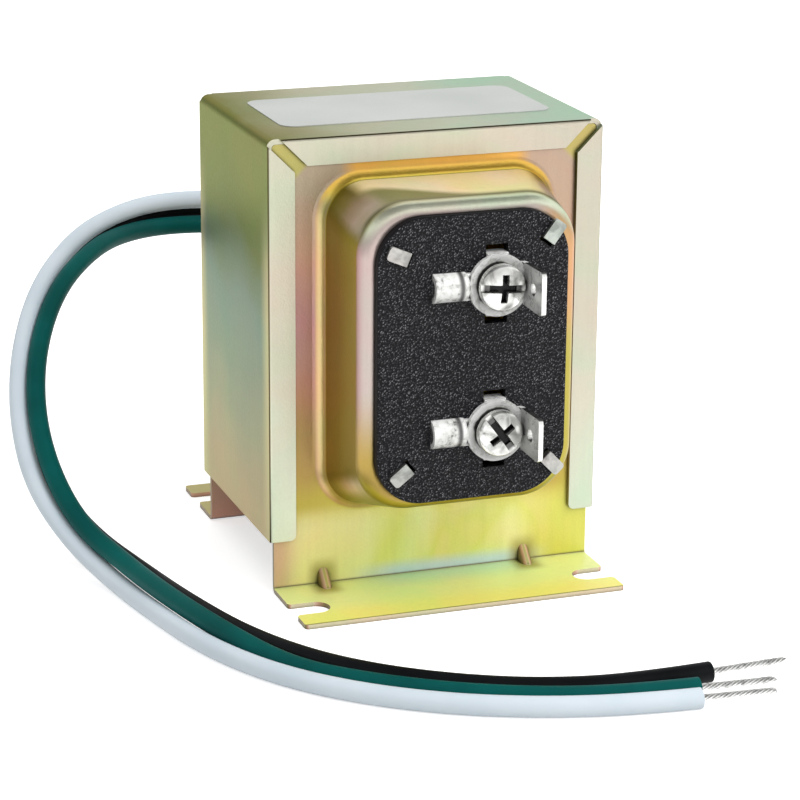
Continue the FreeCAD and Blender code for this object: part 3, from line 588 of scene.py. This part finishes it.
# Leads, with the routes of the CAD model in metres. The bare strands end a little short of its rods.
lead_width = 0.0033
lead_rest = lead_width / 2
lead_routes = {
    "white": [
        (-0.00102, 0.0324, 0.04837), (-0.00102, 0.0422, 0.04837), (-0.0053, 0.0526, 0.0484),
        (-0.0148, 0.0595, 0.0489), (-0.0264, 0.0598, 0.0490), (-0.0359, 0.0546, 0.0484),
        (-0.0452, 0.0463, 0.0466), (-0.0541, 0.0367, 0.0411), (-0.0600, 0.0268, 0.0326),
        (-0.0626, 0.0179, 0.0232), (-0.0622, 0.0092, 0.0137), (-0.0579, 0.0004, 0.0060),
        (-0.0529, -0.0099, lead_rest), (-0.0504, -0.0238, lead_rest), (-0.0465, -0.0410, lead_rest),
        (-0.0396, -0.0557, lead_rest), (-0.0299, -0.0669, lead_rest), (-0.0177, -0.0756, lead_rest),
        (-0.0042, -0.0814, lead_rest), (0.0093, -0.0846, lead_rest), (0.0189, -0.0854, lead_rest)],
    "green": [
        (-0.00102, 0.0324, 0.04482), (-0.00102, 0.0422, 0.04482), (-0.0052, 0.0516, 0.0446),
        (-0.0141, 0.0581, 0.0443), (-0.0250, 0.0585, 0.0447), (-0.0341, 0.0532, 0.0452),
        (-0.0423, 0.0443, 0.0451), (-0.0512, 0.0347, 0.0410), (-0.0573, 0.0249, 0.0333),
        (-0.0599, 0.0162, 0.0246), (-0.0594, 0.0077, 0.0161), (-0.0563, -0.0005, 0.0087),
        (-0.0513, -0.0102, 0.0050), (-0.0484, -0.0239, 0.0044), (-0.0436, -0.0402, 0.0036),
        (-0.0364, -0.0540, lead_rest), (-0.0272, -0.0636, lead_rest), (-0.0157, -0.0718, lead_rest),
        (-0.0029, -0.0778, lead_rest), (0.0099, -0.0809, lead_rest), (0.0203, -0.0816, lead_rest)],
    "black": [
        (0.00205, 0.0324, 0.0466), (0.00205, 0.0422, 0.0466), (-0.0021, 0.0552, 0.0464),
        (-0.0129, 0.0622, 0.0462), (-0.0256, 0.0622, 0.0463), (-0.0362, 0.0565, 0.0454),
        (-0.0451, 0.0479, 0.0435), (-0.0531, 0.0381, 0.0381), (-0.0580, 0.0283, 0.0300),
        (-0.0600, 0.0196, 0.0212), (-0.0588, 0.0111, 0.0127), (-0.0539, 0.0019, 0.0059),
        (-0.0472, -0.0072, lead_rest), (-0.0442, -0.0216, lead_rest), (-0.0394, -0.0386, lead_rest),
        (-0.0327, -0.0517, lead_rest), (-0.0244, -0.0612, lead_rest), (-0.0139, -0.0689, lead_rest),
        (-0.0020, -0.0745, lead_rest), (0.0115, -0.0771, lead_rest), (0.0246, -0.0765, lead_rest)],
}
bare_lengths = {"white": 0.0122, "green": 0.0127, "black": 0.0132}
strand_count = 7
strand_radius = 0.00021
strand_orbit = 0.00040
strand_pitch = 0.0052
strand_root = 0.0006
strand_stagger = 0.00035
strand_steps = 48


def curve_object(name, radius):
    data = bpy.data.curves.new(name, "CURVE")
    data.dimensions = "3D"
    data.bevel_depth = radius
    data.use_fill_caps = True
    made = bpy.data.objects.new(name, data)
    scene.collection.objects.link(made)
    return made


def add_line(data, kind, points):
    line = data.splines.new(kind)
    line.points.add(len(points) - 1)
    for target, point in zip(line.points, points):
        target.co = (*point, 1.0)
    return line


def lead(colour, route, skin):
    """Insulated lead as a spline along its route, so that it can be laid anew."""
    made = curve_object(f"{colour}_cord", lead_width / 2)
    made.data.bevel_resolution = 8
    made.data.resolution_u = 10
    line = add_line(made.data, "NURBS", route)
    line.order_u = 3
    line.use_endpoint_u = True
    dress(made, skin)
    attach(made, "root")
    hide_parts(f"{colour}_lead")
    return made


def bare_strands(colour, route, length):
    """Twisted tinned strands out of the cut end: one along the middle and the others round it."""
    made = curve_object(f"{colour}_strands", strand_radius)
    made.data.bevel_resolution = 3
    start = Vector(route[-1])
    ahead = (start - Vector(route[-2])).normalized()
    side = ahead.cross(Vector((0.0, 0.0, 1.0))).normalized()
    up = side.cross(ahead)
    start = start - ahead * strand_root
    for strand in range(strand_count):
        orbit = 0.0 if strand == 0 else strand_orbit
        reach = length + strand_root - strand_stagger * (strand % 3)
        points = []
        for step in range(strand_steps + 1):
            along = reach * step / strand_steps
            turn = 2 * math.pi * (along / strand_pitch + strand / (strand_count - 1))
            points.append(start + ahead * along + (side * math.cos(turn) + up * math.sin(turn)) * orbit)
        add_line(made.data, "POLY", points)
    dress(made, tinned)
    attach(made, "root")
    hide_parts(f"{colour}_conductor")
    return made


for colour, skin in (("white", white_skin), ("green", green_skin), ("black", black_skin)):
    route = lead_routes[colour]
    cord = lead(colour, route, skin)
    strands = bare_strands(colour, route, bare_lengths[colour])

# Floor: white paper, to the eye and in reflections, that keeps the part's shadow
floor_half = 3.0
floor_glow = 0.58
floor_corners = [(-floor_half, -floor_half, 0), (floor_half, -floor_half, 0),
                 (floor_half, floor_half, 0), (-floor_half, floor_half, 0)]
floor_mesh = bpy.data.meshes.new("floor")
floor_mesh.from_pydata(floor_corners, [], [(0, 1, 2, 3)])
floor = bpy.data.objects.new("floor", floor_mesh)
scene.collection.objects.link(floor)
floor_material, floor_tree, floor_surface = new_material("floor")[:3]
ray_kind = add(floor_tree, "ShaderNodeLightPath").outputs
mirrored = maths(floor_tree, "MAXIMUM", ray_kind["Is Glossy Ray"], ray_kind["Is Transmission Ray"])
seen = maths(floor_tree, "MAXIMUM", ray_kind["Is Camera Ray"], mirrored)
paper = blend(floor_tree, seen, (0.72, 0.72, 0.71, 1.0), (0.98, 0.98, 0.98, 1.0))
wire_up(floor_tree, floor_surface, colour=paper, roughness=1.0)
floor_surface.inputs["Specular IOR Level"].default_value = 0.0
floor_surface.inputs["Emission Color"].default_value = full_white
join(floor_tree, times(floor_tree, seen, floor_glow), floor_surface.inputs["Emission Strength"])
dress(floor, floor_material)

# Room: a white backdrop along the horizon, greyer walls at the left, bright above, and a dark ceiling
world = bpy.data.worlds.new("studio")
scene.world = world
world.use_nodes = True
sky = world.node_tree
sky.nodes.clear()
heading = split(sky, add(sky, "ShaderNodeTexCoord").outputs["Generated"])
walls = ramp(sky, between(sky, heading["X"], -0.85, 0.25), [
    (0.0, (0.36, 0.36, 0.36, 1.0)), (1.0, (0.72, 0.72, 0.72, 1.0))])
room = blend(sky, between(sky, heading["Z"], 0.12, 0.62), walls, full_white)
room = blend(sky, between(sky, heading["Z"], 0.60, 0.84), room, (0.07, 0.07, 0.07, 1.0))
room = blend(sky, between(sky, heading["Z"], 0.12, 0.05), room, full_white)
light = add(sky, "ShaderNodeBackground", {"Color": room, "Strength": 1.0})
add(sky, "ShaderNodeOutputWorld", {"Surface": light.outputs["Background"]})


def softbox(name, place, target, width, power):
    """Square lamp that lights the part and isn't mirrored in it."""
    lamp = bpy.data.lights.new(name, "AREA")
    lamp.shape = "RECTANGLE"
    lamp.size = width
    lamp.size_y = width
    lamp.energy = power
    made = bpy.data.objects.new(name, lamp)
    made.location = place
    made.rotation_mode = "QUATERNION"
    made.rotation_quaternion = (Vector(target) - Vector(place)).to_track_quat("-Z", "Y")
    made.visible_glossy = False
    scene.collection.objects.link(made)


softbox("key", (0.30, -0.45, 0.55), (0.0, 0.0, 0.03), 0.5, 3.0)
softbox("overhead", (0.0, 0.05, 0.8), (0.0, 0.0, 0.0), 0.9, 3.0)

# Camera, fitted to the photograph
azimuth, elevation, roll = math.radians(-19.7243), math.radians(17.3142), math.radians(-0.44384)
camera_target = Vector((0.00084, 0.0, 0.025283))
camera_distance = 0.49681
camera_data = bpy.data.cameras.new("camera")
camera_data.lens = 128.96
camera_data.sensor_width = 36.0
camera_data.clip_start = 0.01
camera = bpy.data.objects.new("camera", camera_data)
scene.collection.objects.link(camera)
scene.camera = camera
level_out = math.cos(elevation)
back = Vector((math.sin(azimuth) * level_out, -math.cos(azimuth) * level_out, math.sin(elevation)))
right = Vector((math.cos(azimuth), math.sin(azimuth), 0.0))
up = back.cross(right)
rolled_right = right * math.cos(roll) - up * math.sin(roll)
rolled_up = right * math.sin(roll) + up * math.cos(roll)
turned = Matrix((rolled_right, rolled_up, back)).transposed().to_4x4()
camera.matrix_world = Matrix.Translation(camera_target + back * camera_distance) @ turned
